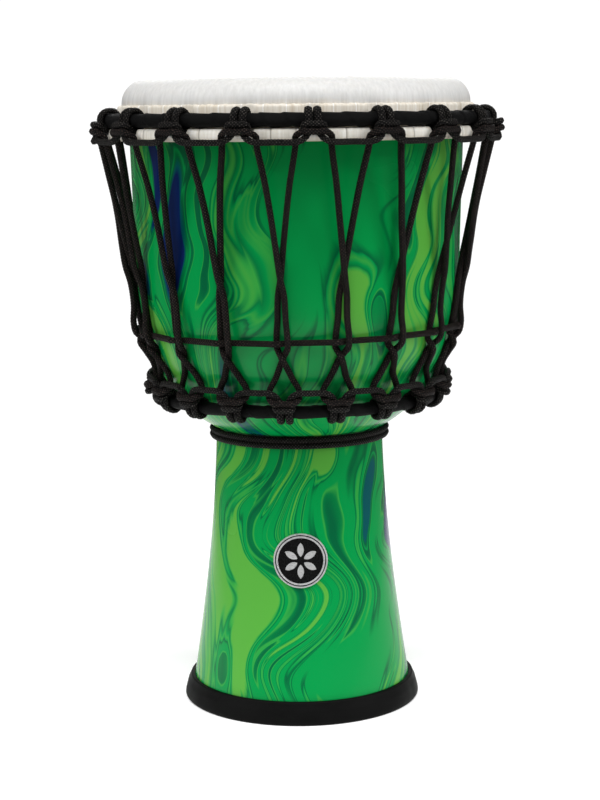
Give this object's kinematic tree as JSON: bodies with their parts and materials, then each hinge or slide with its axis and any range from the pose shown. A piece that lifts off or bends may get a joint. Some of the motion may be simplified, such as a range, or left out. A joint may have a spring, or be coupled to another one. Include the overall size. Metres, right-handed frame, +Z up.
{
  "type": "djembe",
  "caption": "Small rope-tuned goblet hand drum with a swirled green moulded shell, white head, black cloth-wrapped rings, black rope lacing and a rubber foot.",
  "frame": {"origin": "centre of the foot, on the surface the drum stands on", "axes": "+Z up along the drum's axis, -Y is the front with the badge, +X to the right of the badge"},
  "size_m": [0.208, 0.2082, 0.3175],
  "materials": {
    "shell": "glossy moulded shell, swirled greens with navy streaks",
    "foot_rubber": "semi-matte black rubber",
    "head_film": "white fibrous synthetic skin",
    "head_tab": "cream trimmed edge",
    "head_skirt": "cream white folded skin with seams",
    "hoop_steel": "plated steel wire",
    "ring_steel": "round steel bar",
    "ring_cloth": "black cloth strip wound round the bar",
    "loop_rope": "black braided polyester rope with a faint brown tracer",
    "tension_rope": "black braided polyester rope with a faint brown tracer",
    "badge_metal": "polished silver",
    "badge_enamel": "gloss black"
  },
  "bodies": {
    "drum": {"shell": "shell", "foot_ring": "foot_rubber", "lower_ring_core": "ring_steel", "lower_ring_wrap": "ring_cloth", "lower_loop_rope": "loop_rope", "lower_loop_knot": "loop_rope", "tension_rope": "tension_rope", "weave_rope": "tension_rope", "weave_knot": "tension_rope", "neck_rope": "loop_rope", "neck_knot": "loop_rope", "badge_plate": "badge_metal", "badge_rim": "badge_metal", "badge_face": "badge_enamel", "badge_emblem": "badge_metal"},
    "head": {"head_film": "head_film", "head_tab_band": "head_tab", "head_skirt": "head_skirt", "flesh_hoop": "hoop_steel", "crown_ring_core": "ring_steel", "crown_ring_wrap": "ring_cloth", "crown_loop_rope": "loop_rope", "crown_loop_knot": "loop_rope"}
  },
  "joints": [
    {"name": "head_lift", "type": "slide", "parent": "drum", "child": "head", "axis": [0, 0, 1], "range_m": [0, 0.006], "deforming": ["tension_rope", "weave_rope"]}
  ]
}
